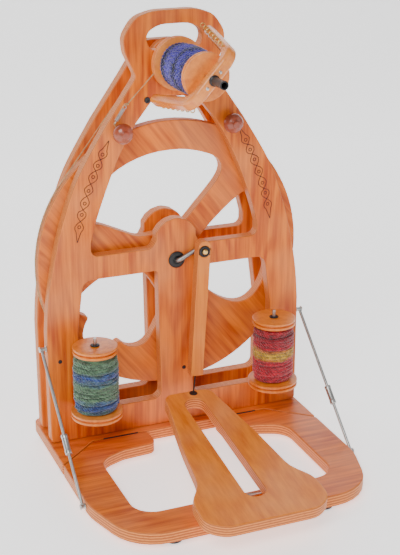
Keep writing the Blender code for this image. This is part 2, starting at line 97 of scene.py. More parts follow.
VINE_SWING, VINE_WAVES, VINE_BUDS = 0.0065, 3.5, 7
CAMERA_AT = (-0.6249, -1.4795, 0.9068)
CAMERA_TO = (0.0373, 0.1272, 0.2563)
CAMERA_LENS, CAMERA_SENSOR = 54.04, 24.0


# Sizes and colours that a user would change

def colour(name, about, value):
    return FloatVectorProperty(name=name, description=about, subtype="COLOR", size=3, min=0, max=1,
                               default=value)


def length(name, about, value):
    return FloatProperty(name=name, description=about, unit="LENGTH", subtype="DISTANCE", min=0.00005,
                         default=value, precision=4)


class WoodSizes(bpy.types.PropertyGroup):
    arris: length("Arris", "Radius of the rounded edges of the boards", 0.0016)
    layers: IntProperty(name="Layers", description="Veneers in a board's thickness", default=9, min=3)
    light: colour("Light", "Lacquered wood between the dark streaks", (0.86, 0.205, 0.009))
    dark: colour("Dark", "Dark streaks of the lacquered wood", (0.40, 0.034, 0.002))
    gold_light: colour("Golden light", "Light wood of the treadle, footman and bobbins",
                       (0.90, 0.27, 0.018))
    gold_dark: colour("Golden dark", "Streaks of the golden wood", (0.62, 0.110, 0.006))
    knob_light: colour("Knob light", "Red-stained wood of the brake knobs", (0.34, 0.022, 0.004))
    knob_dark: colour("Knob dark", "Streaks of the brake knobs", (0.17, 0.008, 0.002))
    edge_light: colour("Edge light", "Light veneers at a board's edge", (0.86, 0.29, 0.060))
    edge_dark: colour("Edge dark", "Cross-grained veneers and glue lines", (0.36, 0.060, 0.010))


class YarnSizes(bpy.types.PropertyGroup):
    thick: length("Thickness", "Thickness of one ply of the yarn", 0.0028)
    twist: length("Twist", "Length of one full twist of the yarn", 0.0095)
    turns: IntProperty(name="Turns", description="Turns along each bobbin", default=17, min=4)
    stray: length("Stray", "How far a turn strays along the bobbin", 0.0022)
    green: colour("Green", "Ground of the left winding", (0.105, 0.215, 0.115))
    blue: colour("Blue", "Bands of the left winding", (0.020, 0.055, 0.30))
    crimson: colour("Crimson", "Ground of the right winding", (0.60, 0.006, 0.024))
    yellow: colour("Yellow", "Band of the right winding", (0.80, 0.42, 0.02))
    violet: colour("Violet", "Light parts of the flyer's winding", (0.060, 0.035, 0.46))
    ink: colour("Ink", "Dark parts of the flyer's winding", (0.006, 0.006, 0.022))


class FittingSizes(bpy.types.PropertyGroup):
    hooks: IntProperty(name="Hooks", description="Cup hooks on each arm of the flyer", default=7, min=1)
    hook_wire: length("Hook wire", "Thickness of a cup hook's wire", 0.0015)
    hook_reach: length("Hook reach", "How far a cup hook stands out", 0.0085)
    coils: IntProperty(name="Coils", description="Turns of the brake spring", default=12, min=3)
    steel: colour("Steel", "Plated steel rods and pins", (0.60, 0.60, 0.58))
    brass: colour("Brass", "Cup hooks and the crank pin's end", (0.80, 0.53, 0.17))
    black: colour("Black", "Moulded bushes and the orifice tube", (0.012, 0.012, 0.013))
    cord: colour("Cord", "Drive band and brake cord", (0.66, 0.40, 0.16))


class StudioSizes(bpy.types.PropertyGroup):
    floor: colour("Floor", "Floor and backdrop", (0.93, 0.93, 0.93))
    key: FloatProperty(name="Key", description="Power of the main light", default=54, min=0, unit="POWER")
    fill: FloatProperty(name="Fill", description="Power of the fill light", default=9, min=0, unit="POWER")
    sky: FloatProperty(name="Sky", description="Brightness of the surroundings", default=0.22, min=0)


class SpinningWheelLooks(bpy.types.PropertyGroup):
    wood: PointerProperty(type=WoodSizes, name="Wood", description="Boards and turned wood")
    yarn: PointerProperty(type=YarnSizes, name="Yarn", description="Windings on the bobbins")
    fittings: PointerProperty(type=FittingSizes, name="Fittings", description="Metal, plastic and cords")
    studio: PointerProperty(type=StudioSizes, name="Studio", description="Floor, light and camera")


def looks():
    return bpy.context.scene.spinning_wheel_looks


# Shader helpers

class Shader:
    """Adds nodes to a tree in short form."""

    def __init__(self, tree):
        self.tree = tree

    def node(self, kind, inputs=None, **settings):
        made = self.tree.nodes.new("ShaderNode" + kind)
        for key, value in settings.items():
            setattr(made, key, value)
        for key, value in (inputs or {}).items():
            self.feed(made.inputs[key], value)
        return made

    def feed(self, socket, value):
        if isinstance(value, bpy.types.NodeSocket):
            self.tree.links.new(value, socket)
        else:
            socket.default_value = value

    def math(self, operation, a, b=0.0, clamp=False):
        return self.node("Math", {0: a, 1: b}, operation=operation, use_clamp=clamp).outputs[0]

    def times(self, a, b):
        return self.math("MULTIPLY", a, b)

    def plus(self, a, b, clamp=False):
        return self.math("ADD", a, b, clamp)

    def between(self, value, low, high):
        """0 at low, 1 at high, smooth between them."""
        return self.node("MapRange", {"Value": value, "From Min": low, "From Max": high},
                         interpolation_type="SMOOTHSTEP").outputs[0]

    def mix(self, share, a, b, blend="MIX"):
        made = self.node("Mix", data_type="RGBA", blend_type=blend)
        self.feed(made.inputs[0], share)
        self.feed(made.inputs[6], a)
        self.feed(made.inputs[7], b)
        return made.outputs[2]

    def noise(self, vector, scale, detail=2.0, rough=0.5, distortion=0.0):
        return self.node("TexNoise", {"Vector": vector, "Scale": scale, "Detail": detail,
                                      "Roughness": rough, "Distortion": distortion}).outputs[0]

    def stretch(self, vector, scale, turn=(0, 0, 0)):
        return self.node("Mapping", {"Vector": vector, "Rotation": turn, "Scale": scale}).outputs[0]


def rgba(value):
    return (*value, 1.0)


def effect(name, inputs, outputs, fill):
    """A shared node group. inputs and outputs are (name, socket kind, default) and (name, kind)."""
    tree = bpy.data.node_groups.get(name)
    if tree:
        return tree
    tree = bpy.data.node_groups.new(name, "ShaderNodeTree")
    for label, kind, value in inputs:
        socket = tree.interface.new_socket(label, in_out="INPUT", socket_type="NodeSocket" + kind)
        if value is not None:
            socket.default_value = value
    for label, kind in outputs:
        tree.interface.new_socket(label, in_out="OUTPUT", socket_type="NodeSocket" + kind)
    entry, leave = tree.nodes.new("NodeGroupInput"), tree.nodes.new("NodeGroupOutput")
    shader = Shader(tree)
    for label, result in fill(shader, entry.outputs).items():
        tree.links.new(result, leave.inputs[label])
    return tree


def wood_grain():
    """Rotary-cut veneer: long streaks, a broad flame figure and fine pores along local Z."""
    def fill(s, given):
        where = given["Vector"]
        streak = s.noise(s.stretch(where, (150, 150, 7)), 1.0, 5.0, 0.62)
        broad = s.noise(s.stretch(where, (16, 16, 2.6)), 1.0, 2.0, 0.5, 0.4)
        flame = s.math("SINE", s.times(broad, 52.0))
        flame = s.between(flame, -0.9, 1.0)
        pores = s.noise(s.stretch(where, (1500, 1500, 45)), 1.0, 2.0, 0.6)
        pore = s.between(pores, 0.58, 0.74)
        tone = s.plus(s.times(s.between(streak, 0.32, 0.70), 0.56), s.times(flame, given["Figure"]))
        tone = s.plus(tone, s.times(pore, 0.16), clamp=True)
        tint = s.mix(tone, given["Light"], given["Dark"])
        cloud = s.noise(where, 11.0, 2.0)
        pale = s.mix(0.5, given["Light"], (1.0, 0.62, 0.34, 1))
        tint = s.mix(s.times(s.between(cloud, 0.35, 0.75), 0.28), tint, pale)
        height = s.math("SUBTRACT", s.times(streak, 0.5), s.times(pore, 0.5))
        gloss = s.plus(s.times(pore, 0.16), s.times(cloud, 0.12))
        return {"Color": tint, "Height": height, "Unevenness": gloss}
    return effect("Wood Grain", [("Vector", "Vector", None), ("Light", "Color", None),
                                 ("Dark", "Color", None), ("Figure", "Float", 0.3)],
                  [("Color", "Color"), ("Height", "Float"), ("Unevenness", "Float")], fill)


def ply_edge():
    """Veneers seen at a board's edge: Depth runs from 0 to 1 through the board."""
    def fill(s, given):
        wander = s.noise(s.stretch(given["Vector"], (22, 22, 22)), 1.0, 2.0)
        depth = s.plus(given["Depth"], s.times(s.math("SUBTRACT", wander, 0.5), 0.05))
        count = s.times(depth, given["Layers"])
        wave = s.math("SINE", s.times(count, math.pi))
        band = s.between(wave, -0.35, 0.35)
        glue = s.between(s.math("ABSOLUTE", wave), 0.30, 0.05)
        fibre = s.noise(s.stretch(given["Vector"], (260, 260, 260)), 1.0, 3.0, 0.6)
        tint = s.mix(s.times(band, 0.72), given["Light"], given["Dark"])
        tint = s.mix(s.times(glue, 0.55), tint, given["Dark"])
        tint = s.mix(s.times(s.between(fibre, 0.45, 0.75), 0.35), tint, given["Dark"])
        return {"Color": tint, "Height": s.math("SUBTRACT", fibre, s.times(glue, 0.8))}
    return effect("Ply Edge", [("Vector", "Vector", None), ("Depth", "Float", 0.0),
                               ("Layers", "Float", 9.0), ("Light", "Color", None),
                               ("Dark", "Color", None)],
                  [("Color", "Color"), ("Height", "Float")], fill)


def twist_lines():
    """Fine fibre noise and softer fuzz for cord and yarn."""
    def fill(s, given):
        fine = s.noise(s.stretch(given["Vector"], (1, 1, 1)), 1500.0, 3.0, 0.6)
        soft = s.noise(given["Vector"], 170.0, 2.0)
        return {"Shade": s.plus(s.times(fine, 0.6), s.times(soft, 0.4)), "Height": fine}
    return effect("Twisted Fibre", [("Vector", "Vector", None)],
                  [("Shade", "Float"), ("Height", "Float")], fill)


def surface(name):
    """A new material, its Principled shader and its object coordinates."""
    made = bpy.data.materials.new(name)
    made.use_nodes = True
    shader = Shader(made.node_tree)
    coords = shader.node("TexCoord")
    return made, shader, made.node_tree.nodes["Principled BSDF"], coords


def bump(s, principled, height, strength, distance):
    made = s.node("Bump", {"Strength": strength, "Distance": distance, "Height": height})
    s.tree.links.new(made.outputs[0], principled.inputs["Normal"])


def grain_of(s, where, light, dark, turn, figure):
    """The wood grain, laid along local Z by turn."""
    return s.node("Group", {"Vector": s.stretch(where, (1, 1, 1), turn), "Light": rgba(light),
                            "Dark": rgba(dark), "Figure": figure}, node_tree=wood_grain())


def board_finish(name, light, dark, face, turn, centre, thick, figure=0.30):
    """Lacquered plywood. face is the board's normal, and turn lays its grain along local Z."""
    wood = looks().wood
    made, s, principled, coords = surface(name)
    where = coords.outputs["Object"]
    grain = grain_of(s, where, light, dark, turn, figure)
    across = s.node("VectorMath", {0: where, 1: tuple(face)}, operation="DOT_PRODUCT").outputs["Value"]
    depth = s.math("DIVIDE", s.math("SUBTRACT", across, centre.dot(face) - thick / 2), thick)
    edge = s.node("Group", {"Vector": where, "Depth": depth, "Layers": float(wood.layers),
                            "Light": rgba(wood.edge_light), "Dark": rgba(wood.edge_dark)},
                  node_tree=ply_edge())
    facing = s.node("VectorMath", {0: coords.outputs["Normal"], 1: tuple(face)}, operation="DOT_PRODUCT")
    facing = s.math("ABSOLUTE", facing.outputs["Value"])
    on_edge = s.between(facing, 0.80, 0.42)
    worn = s.times(s.between(facing, 0.995, 0.86), 0.40)
    tint = s.mix(worn, grain.outputs["Color"], rgba(wood.edge_light))
    tint = s.mix(on_edge, tint, edge.outputs["Color"])
    principled.inputs["Specular IOR Level"].default_value = 0.28
    s.feed(principled.inputs["Base Color"], tint)
    rough = s.plus(s.plus(0.30, grain.outputs["Unevenness"]), s.times(on_edge, 0.14))
    s.feed(principled.inputs["Roughness"], rough)
    principled.inputs["Coat Weight"].default_value = 0.06
    principled.inputs["Coat Roughness"].default_value = 0.22
    height = s.plus(s.times(grain.outputs["Height"], 0.6),
                    s.times(s.times(edge.outputs["Height"], on_edge), 0.8))
    bump(s, principled, height, 0.28, 0.0006)
    return made


# Mesh helpers

def place(name, data, body, finish, stands_for=()):
    """Links a finished piece, gives it its material and rides it on its body."""
    obj = bpy.data.objects.new(name, data)
    bpy.context.scene.collection.objects.link(obj)
    data.materials.clear()
    data.materials.append(finish)
    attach(obj, body)
    if stands_for:
        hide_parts(*stands_for)
    return obj


def outlines(node, face):
    """The outline and the openings of a board, from the edges of its flat side."""
    flat = bmesh.new()
    flat.from_mesh(frame["nodes"][node].data)
    bmesh.ops.remove_doubles(flat, verts=flat.verts, dist=2e-5)
    caps = {f for f in flat.faces if f.normal.dot(face) > 0.99}
    rim = [e for e in flat.edges if sum(f in caps for f in e.link_faces) == 1]
    ways = {}
    for edge in rim:
        for vert in edge.verts:
            ways.setdefault(vert, []).append(edge)
    loops, left = [], set(rim)
    while left:
        edge = left.pop()
        here, loop = edge.verts[0], [edge.verts[0].co.copy()]
        while True:
            here = edge.other_vert(here)
            ahead = [e for e in ways[here] if e in left]
            loop.append(here.co.copy())
            if not ahead:
                break
            edge = ahead[0]
            left.discard(edge)
        loops.append(loop[:-1])
    level = sum(f.calc_center_median().dot(face) for f in caps) / len(caps)
    flat.free()
    return loops, level


def board(node, body, finish, arris, face, thick):
    """A CAD board built again from its outlines, with rounded arrises and flat sides."""
    face = Vector(face).normalized()
    loops, level = outlines(node, face)
    along = face.orthogonal().normalized()
    over = face.cross(along)
    curve = bpy.data.curves.new(node, "CURVE")
    curve.dimensions = "2D"
    curve.fill_mode = "BOTH"
    curve.extrude = thick / 2 - arris
    curve.bevel_depth = arris
    curve.bevel_resolution = 2
    curve.offset = -arris
    for loop in loops:
        spline = curve.splines.new("POLY")
        spline.points.add(len(loop) - 1)
        for point, where in zip(spline.points, loop):
            point.co = (where.dot(along), where.dot(over), 0, 1)
        spline.use_cyclic_u = True
    drawn = bpy.data.objects.new(node, curve)
    bpy.context.scene.collection.objects.link(drawn)
    bpy.context.view_layer.update()
    mesh = bpy.data.meshes.new_from_object(drawn.evaluated_get(bpy.context.evaluated_depsgraph_get()))
    bpy.data.objects.remove(drawn)
    bpy.data.curves.remove(curve)
    turn = Matrix((along, over, face)).transposed().to_4x4()
    mesh.transform(Matrix.Translation(face * (level - thick / 2)) @ turn)
    joined = bmesh.new()
    joined.from_mesh(mesh)
    bmesh.ops.remove_doubles(joined, verts=joined.verts, dist=1e-6)
    bmesh.ops.recalc_face_normals(joined, faces=joined.faces)
    normals = []
    for vert in joined.verts:
        caps = [f.normal for f in vert.link_faces if abs(f.normal.dot(face)) > 0.995]
        walls = [f.normal for f in vert.link_faces if abs(f.normal.dot(face)) < 0.08]
        chosen = caps or walls or [f.normal for f in vert.link_faces]
        normals.append(sum(chosen, Vector()).normalized())
    joined.to_mesh(mesh)
    joined.free()
    mesh.shade_smooth()
    mesh.normals_split_custom_set_from_vertices(normals)
    return place(node + "_board", mesh, body, finish, (node,))


def lathe(profile, at, axis, count=48):
    """A mesh turned about axis through at. profile is (radius, height) pairs, outside going up; it
    closes on itself when its ends are off the axis."""
    axis = Vector(axis).normalized()
    side = (UP if abs(axis.z) < 0.9 else RIGHT).cross(axis).normalized()
    other = axis.cross(side)
    rows, points = [], []
    for radius, height in profile:
        if radius <= 0:
            rows.append([len(points)] * count)
            points.append(Vector(at) + axis * height)
            continue
        rows.append(range(len(points), len(points) + count))
        points += [Vector(at) + axis * height + (side * math.cos(math.tau * k / count)
                                                 + other * math.sin(math.tau * k / count)) * radius
                   for k in range(count)]
    pairs = list(zip(rows, rows[1:]))
    if profile[0][0] > 0:
        pairs.append((rows[-1], rows[0]))
    faces = [tuple(dict.fromkeys((low[k], low[(k + 1) % count], high[(k + 1) % count], high[k])))
             for low, high in pairs for k in range(count)]
    mesh = bpy.data.meshes.new("turned")
    mesh.from_pydata(points, [], faces)
    mesh.shade_smooth()
    mesh.set_sharp_from_angle(angle=math.radians(40))
    return mesh


def bent(corners, radius, steps=6, most=0.48):
    """A path through corners with each inner one rounded, over at most that share of a side."""
    points = [Vector(p) for p in corners]
    made = [points[0]]
    for back, here, ahead in zip(points, points[1:], points[2:]):
        reach = min(radius, most * (back - here).length, most * (ahead - here).length)
        a = here + (back - here).normalized() * reach
        b = here + (ahead - here).normalized() * reach
        made += [a.lerp(here, t).lerp(here.lerp(b, t), t)
                 for t in (k / steps for k in range(steps + 1))]
    return made + [points[-1]]


def softened(profile, radius):
    """The profile with its corners rounded."""
    return [tuple(p) for p in bent(profile, radius, 3, 0.45)]


def wires(name, paths, radius, detail=2):
    """Round wires or cords along paths, as one curve."""
    curve = bpy.data.curves.new(name, "CURVE")
    curve.dimensions = "3D"
    curve.bevel_depth = radius
    curve.bevel_resolution = detail
    curve.use_fill_caps = True
    for path in paths:
        spline = curve.splines.new("POLY")
        spline.points.add(len(path) - 1)
        spline.points.foreach_set("co", [c for p in path for c in (*p, 1.0)])
        spline.use_smooth = True
    return curve


def spun(path, spread, pitch, plies=2, phase=0.0):
    """Plies twisted round a path: one path for each ply."""
    made = [[] for _ in range(plies)]
    turned, before = phase, path[0]
    for i, here in enumerate(path):
        ahead = path[min(i + 1, len(path) - 1)] - path[max(i - 1, 0)]
        ahead.normalize()
        side = ahead.orthogonal() if abs(ahead.z) > 0.98 else ahead.cross(UP).normalized()
        over = ahead.cross(side).normalized()
        turned += math.tau * (here - before).length / pitch
        before = here
        for k in range(plies):
            angle = turned + math.tau * k / plies
            way = side.normalized() * math.cos(angle) + over * math.sin(angle)
            made[k].append(here + way * spread)
    return made


def arc(centre, a, b, radius, begin, end, steps):
    """Points on a circle in the plane of the unit vectors a and b."""
    return [centre + (a * math.cos(t) + b * math.sin(t)) * radius
            for t in (begin + (end - begin) * k / steps for k in range(steps + 1))]


def turned(name, profile, soft, at, axis, count, body, slot, finish, stands_for=()):
    """Places a turned piece with softened corners."""
    mesh = lathe(softened(profile, soft), at, axis, count)
    return place(name, mesh, body, finish, stands_for)


def wired(name, paths, radius, detail, body, finish, stands_for=()):
    """Places round wires or cords."""
    return place(name, wires(name, paths, radius, detail), body, finish, stands_for)


def round_box(node):
    """The two corners of a round node's box, its middle and its radius across X."""
    low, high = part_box(node)
    return low, high, (low + high) / 2, (high.x - low.x) / 2


# Finishes

def turned_wood(name, light, dark, turn=(0, 0, 0), gloss=0.30):
    made, s, principled, coords = surface(name)
    grain = grain_of(s, coords.outputs["Object"], light, dark, turn, 0.22)
    s.feed(principled.inputs["Base Color"], grain.outputs["Color"])
    s.feed(principled.inputs["Roughness"], s.plus(gloss, grain.outputs["Unevenness"]))
    principled.inputs["Coat Weight"].default_value = 0.15
    principled.inputs["Coat Roughness"].default_value = 0.2
    bump(s, principled, grain.outputs["Height"], 0.25, 0.0005)
    return made


def metal(name, base, rough, tarnish=0.35):
    made, s, principled, coords = surface(name)
    where = coords.outputs["Object"]
    drawn = s.noise(s.stretch(where, (900, 900, 90)), 1.0, 3.0, 0.6)
    patch = s.noise(where, 60.0, 3.0)
    dull = s.mix(tarnish, rgba(base), (base[0] * 0.45, base[1] * 0.43, base[2] * 0.42, 1))
    s.feed(principled.inputs["Base Color"], s.mix(s.between(patch, 0.42, 0.72), rgba(base), dull))
    s.feed(principled.inputs["Roughness"], s.plus(rough, s.times(s.plus(drawn, patch), 0.16)))
    principled.inputs["Metallic"].default_value = 1.0
    bump(s, principled, drawn, 0.08, 0.0003)
    return made


def moulded(name, base, rough, grain_scale=900.0, depth=0.12):
    made, s, principled, coords = surface(name)
    where = coords.outputs["Object"]
    leather = s.noise(where, grain_scale, 3.0, 0.6)
    dust = s.noise(where, 45.0, 4.0, 0.6)
    pale = tuple(min(1.0, c * 1.8 + 0.012) for c in base)
    s.feed(principled.inputs["Base Color"], s.mix(s.between(dust, 0.48, 0.80), rgba(base), rgba(pale)))
    s.feed(principled.inputs["Roughness"], s.plus(rough, s.times(dust, 0.2)))
    bump(s, principled, leather, depth, 0.0004)
    return made


def spun_cord(name, base):
    made, s, principled, coords = surface(name)
    fibre = s.node("Group", {"Vector": coords.outputs["Object"]}, node_tree=twist_lines())
    dark = tuple(c * 0.45 for c in base)
    shade = s.between(fibre.outputs["Shade"], 0.35, 0.62)
    s.feed(principled.inputs["Base Color"], s.mix(shade, rgba(dark), rgba(base)))
    s.feed(principled.inputs["Roughness"], s.plus(0.7, s.times(shade, 0.2)))
    principled.inputs["Sheen Weight"].default_value = 0.25
    bump(s, principled, fibre.outputs["Height"], 0.4, 0.0004)
    return made


def dyed_yarn(name, axis, low, high, stops, patchy=0.10):
    """Wool whose dye changes along the winding: stops are (share of the length, colour)."""
    made, s, principled, coords = surface(name)
    where = coords.outputs["Object"]
    along = s.node("VectorMath", {0: where, 1: tuple(axis)}, operation="DOT_PRODUCT").outputs["Value"]
    share = s.node("MapRange", {"Value": along, "From Min": low, "From Max": high}).outputs[0]
    drift = s.math("SUBTRACT", s.noise(s.stretch(where, (38, 38, 110)), 1.0, 3.0, 0.6), 0.5)
    share = s.plus(share, s.times(drift, patchy * 3.2))
    ramp = s.node("ValToRGB", {0: share})
    while len(ramp.color_ramp.elements) < len(stops):
        ramp.color_ramp.elements.new(0.5)
    for element, (at, tint) in zip(ramp.color_ramp.elements, stops):
        element.position = at
        element.color = rgba(tint)
    fibre = s.node("Group", {"Vector": where}, node_tree=twist_lines())
    mottled = s.noise(s.stretch(where, (120, 120, 300)), 1.0, 3.0, 0.6)
    light = s.mix(0.45, ramp.outputs["Color"], (1, 1, 1, 1), "SOFT_LIGHT")
    dark = s.mix(0.62, ramp.outputs["Color"], (0, 0, 0, 1))
    tint = s.mix(s.between(mottled, 0.36, 0.66), dark, light)
    tint = s.mix(s.times(s.between(fibre.outputs["Shade"], 0.60, 0.40), 0.45), tint, dark)
    s.feed(principled.inputs["Base Color"], tint)
    s.feed(principled.inputs["Roughness"], s.plus(0.78, s.times(mottled, 0.18)))
    principled.inputs["Sheen Weight"].default_value = 0.5
    principled.inputs["Sheen Roughness"].default_value = 0.5
    bump(s, principled, fibre.outputs["Height"], 0.5, 0.0004)
    return made


# Operators, one for each piece or group of like pieces

class Piece(bpy.types.Operator):
    bl_options = {"REGISTER", "UNDO"}


class SPINNINGWHEEL_OT_frames(Piece):
    """Builds the front and rear frames with an upright grain and rounded edges"""
    bl_idname = "spinningwheel.frames"
    bl_label = "Frames"

    def execute(self, context):
        wood = looks().wood
        for node in ("front_frame", "rear_frame"):
            low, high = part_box(node)
            finish = board_finish(node + "_finish", wood.light, wood.dark, TO_BACK, (0, 0, 0),
                                  middle(node), high.y - low.y, 0.34)
            board(node, "stand", finish, wood.arris, TO_BACK, high.y - low.y)
        return {"FINISHED"}


class SPINNINGWHEEL_OT_base(Piece):
    """Builds the two boards of the folding base"""
    bl_idname = "spinningwheel.base"
    bl_label = "Base boards"

    def execute(self, context):
        wood = looks().wood
        for node, turn in (("base_rear", (0, math.pi / 2, 0)), ("base_front", (0, math.pi / 2, 0.2))):
            low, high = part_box(node)
            finish = board_finish(node + "_finish", wood.light, wood.dark, UP, turn, middle(node),
                                  high.z - low.z, 0.26)
            board(node, "stand", finish, wood.arris, UP, high.z - low.z)
        return {"FINISHED"}


class SPINNINGWHEEL_OT_wheel(Piece):
    """Builds the drive wheel, with its grain on the slant"""
    bl_idname = "spinningwheel.wheel"
    bl_label = "Drive wheel"

    def execute(self, context):
        wood = looks().wood
        low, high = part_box("drive_wheel")
        finish = board_finish("drive_wheel_finish", wood.light, wood.dark, TO_BACK,
                              (0, math.radians(38), 0), middle("drive_wheel"), high.y - low.y, 0.30)
        board("drive_wheel", "wheel", finish, wood.arris, TO_BACK, high.y - low.y)
        return {"FINISHED"}


class SPINNINGWHEEL_OT_drive(Piece):
    """Builds the treadle, the footman and the flyer's bow in lighter wood"""
    bl_idname = "spinningwheel.drive"
    bl_label = "Treadle, footman and flyer bow"

    def execute(self, context):
        wood = looks().wood
        light, dark = wood.gold_light, wood.gold_dark
        treadle_up = Quaternion((1, 0, 0), TREADLE_TILT) @ UP
        bow_face = Quaternion((0, 1, 0), -FLYER_LEAN) @ UP
        pieces = (("treadle", "treadle", treadle_up, (math.pi / 2, 0, 0), 1.2 * wood.arris, PLY),
                  ("footman", "footman", TO_BACK, (0, 0, 0), 0.9 * wood.arris, None),
                  ("flyer_bow", "flyer", bow_face, (math.pi / 2, 0, 0), 3.0 * wood.arris, PLY))
        for node, body, face, turn, arris, thick in pieces:
            low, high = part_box(node)
            if node == "flyer_bow":
                finish = turned_wood("bow_finish", light, dark, turn, 0.20)
            else:
                finish = board_finish(node + "_finish", light, dark, face, turn, middle(node),
                                      thick or high.y - low.y, 0.22)
            board(node, body, finish, arris, face, thick or high.y - low.y)
        return {"FINISHED"}


def spool(node, name, body, axis, base, finish):
    """A turned bobbin: each flange is two discs with a groove between them."""
    low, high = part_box(node)
    size = high - low
    long = abs(size.dot(Vector(axis)))
    big = max(size.x, size.y if abs(axis[2]) > 0.5 else size.z) / 2
    small, core, bore = big - 0.005, 0.012, BOBBIN_BORE
    disc, groove, step = 0.0038, 0.0026, 0.004

    def flange(radius, z):
        return [(radius, z), (radius, z + disc), (radius - step, z + disc),
                (radius - step, z + disc + groove), (radius, z + disc + groove),
                (radius, z + 2 * disc + groove)]
    thick = 2 * disc + groove
    profile = [(bore, 0), (bore + 0.004, 0.0006), *flange(big, 0), (core, thick), (core, long - thick),
               *flange(small, long - thick), (bore + 0.004, long - 0.0006), (bore, long)]
    return turned(name, profile, 0.0011, base, axis, 72, body, "golden_ply", finish, (node,))


class SPINNINGWHEEL_OT_bobbins(Piece):
    """Builds the three turned bobbins and the grooved whorl"""
    bl_idname = "spinningwheel.bobbins"
    bl_label = "Bobbins and whorl"

    def execute(self, context):
        wood = looks().wood
        upright = turned_wood("bobbin_wood", wood.gold_light, wood.gold_dark)
        level = turned_wood("flyer_wood", wood.gold_light, wood.gold_dark, (math.pi / 2, 0, 0))
        for word in ("left", "right"):
            node = "bobbin_" + word
            low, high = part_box(node)
            centre = (low + high) / 2
            spool(node, node + "_spool", node, UP, (centre.x, centre.y, low.z), upright)
        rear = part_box("flyer_bobbin")[1].y
        spool("flyer_bobbin", "flyer_bobbin_spool", "flyer_bobbin", TO_FRONT, (0, rear, SPINDLE.z), level)
        low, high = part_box("flyer_whorl")
        big, deep = (high.x - low.x) / 2, high.y - low.y
        profile = [(WHORL_BORE, 0), (big - 0.001, 0), (big, 0.001), (big - 0.0044, 0.0050),
                   (big - 0.0044, 0.0070), (big, 0.0112), (big - 0.001, 0.0122),
                   (big * 0.76, deep - 0.0065), (big * 0.66, deep - 0.0040),
                   (big * 0.76, deep - 0.0012), (big * 0.72, deep), (WHORL_BORE, deep)]
        turned("whorl", profile, 0.0008, (0, low.y, SPINDLE.z), TO_BACK, 72, "flyer",
               "golden_ply", level, ("flyer_whorl",))
        return {"FINISHED"}


def winding(node, axis, base, finish, body, seed):
    """Two-ply yarn wound in near-level turns over a core, with some turns crossing the others."""
    sizes = looks().yarn
    low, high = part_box(node)
    size = high - low
    axis = Vector(axis)
    long = abs(size.dot(axis))
    fat = max(size.x, size.y if abs(axis.z) > 0.5 else size.z) / 2
    side = RIGHT
    other = axis.cross(side).normalized()
    chance = random.Random(seed)
    ply = sizes.thick / 2

    def swell(t):
        return 0.90 + 0.10 * math.sin(math.pi * min(max(t, 0), 1)) ** 0.6

    def turn_path(turns, begin, end, inset, wobble, steps=110):
        path = []
        lift = chance.random() * 40
        count = max(8, int(turns * steps))
        for k in range(count + 1):
            share = k / count
            angle = math.tau * turns * share + lift
            stray = noise.noise(Vector((lift, share * turns * 0.9, 3.1))) * wobble
            around = (math.cos(angle), math.sin(angle))
            stray += noise.noise(Vector((*around, lift + share * turns * 0.35))) * wobble
            along = begin + (end - begin) * share + stray
            along = min(max(along, ply * 2.4), long - ply * 2.4)
            bulge = noise.noise(Vector((math.cos(angle) * 1.3, math.sin(angle) * 1.3, along * 90))) * 0.0009
            radius = fat * swell(along / long) - inset + bulge
            radius = min(radius, fat - ply * 2.05)
            way = side * math.cos(angle) + other * math.sin(angle)
            path.append(Vector(base) + axis * along + way * radius)
        return path
    turns = turn_path(sizes.turns, ply * 2.4, long - ply * 2.4, 0.0030, sizes.stray)
    plies = spun(turns, ply, sizes.twist)
    for _ in range(7):
        at = chance.uniform(0.08, 0.75) * long
        reach = chance.uniform(0.08, 0.22) * long
        path = turn_path(chance.uniform(0.8, 1.7), at, at + reach, 0.0012, sizes.stray)
        plies += spun(path, ply, sizes.twist, phase=chance.random() * 6)
    wired(node + "_strands", plies, ply * 1.06, 1, body, finish, (node,))
    core = [(0.0125, 0.0004)] + [(fat * swell(k / 10) - 0.0042, 0.0004 + (long - 0.0008) * k / 10)
                                for k in range(11)] + [(0.0125, long - 0.0004)]
    place(node + "_core", lathe(core, base, axis, 64), body, finish)


class SPINNINGWHEEL_OT_yarn(Piece):
    """Winds the yarn on the three bobbins"""
    bl_idname = "spinningwheel.yarn"
    bl_label = "Yarn"

    def execute(self, context):
        tints = looks().yarn
        low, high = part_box("bobbin_left_yarn")
        blue_green = dyed_yarn("left_yarn", UP, low.z, high.z, (
            (0.0, tints.green), (0.16, tints.blue), (0.30, tints.green), (0.52, tints.green),
            (0.66, tints.blue), (0.80, tints.green), (1.0, tints.green)))
        red = dyed_yarn("right_yarn", UP, low.z, high.z, (
            (0.0, tints.crimson), (0.40, tints.crimson), (0.47, tints.yellow), (0.56, tints.yellow),
            (0.64, tints.crimson), (0.85, tuple(c * 0.5 for c in tints.crimson)),
            (1.0, tints.crimson)), 0.06)
        front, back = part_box("flyer_bobbin_yarn")
        purple = dyed_yarn("flyer_yarn", TO_BACK, front.y, back.y, (
            (0.0, tints.ink), (0.22, tints.violet), (0.38, tints.ink), (0.52, tints.violet),
            (0.70, tints.violet), (0.84, tints.ink), (1.0, tints.violet)), 0.14)
        for body, finish, slot, seed in (("bobbin_left", blue_green, "yarn_blue", 3),
                                         ("bobbin_right", red, "yarn_red", 8)):
            low, _, centre, _ = round_box(body + "_yarn")
            winding(body + "_yarn", UP, (centre.x, centre.y, low.z), finish, body, seed)
        winding("flyer_bobbin_yarn", TO_FRONT, (0, back.y, SPINDLE.z), purple, "flyer_bobbin",
                12)
        return {"FINISHED"}


def cup_hook(at, out, sideways, wire, reach):
    """A screwed-in hook: a short stem and a round open loop."""
    ring = (reach - 0.0026) / 2
    centre = at + out * (0.0022 + ring)
    stem = [at - out * 0.0012, at + out * 0.0010, at + out * 0.0020]
    loop = arc(centre, -out, sideways, ring, 0.35, math.radians(300), 18)
    return bent(stem, 0.0005, 2) + loop


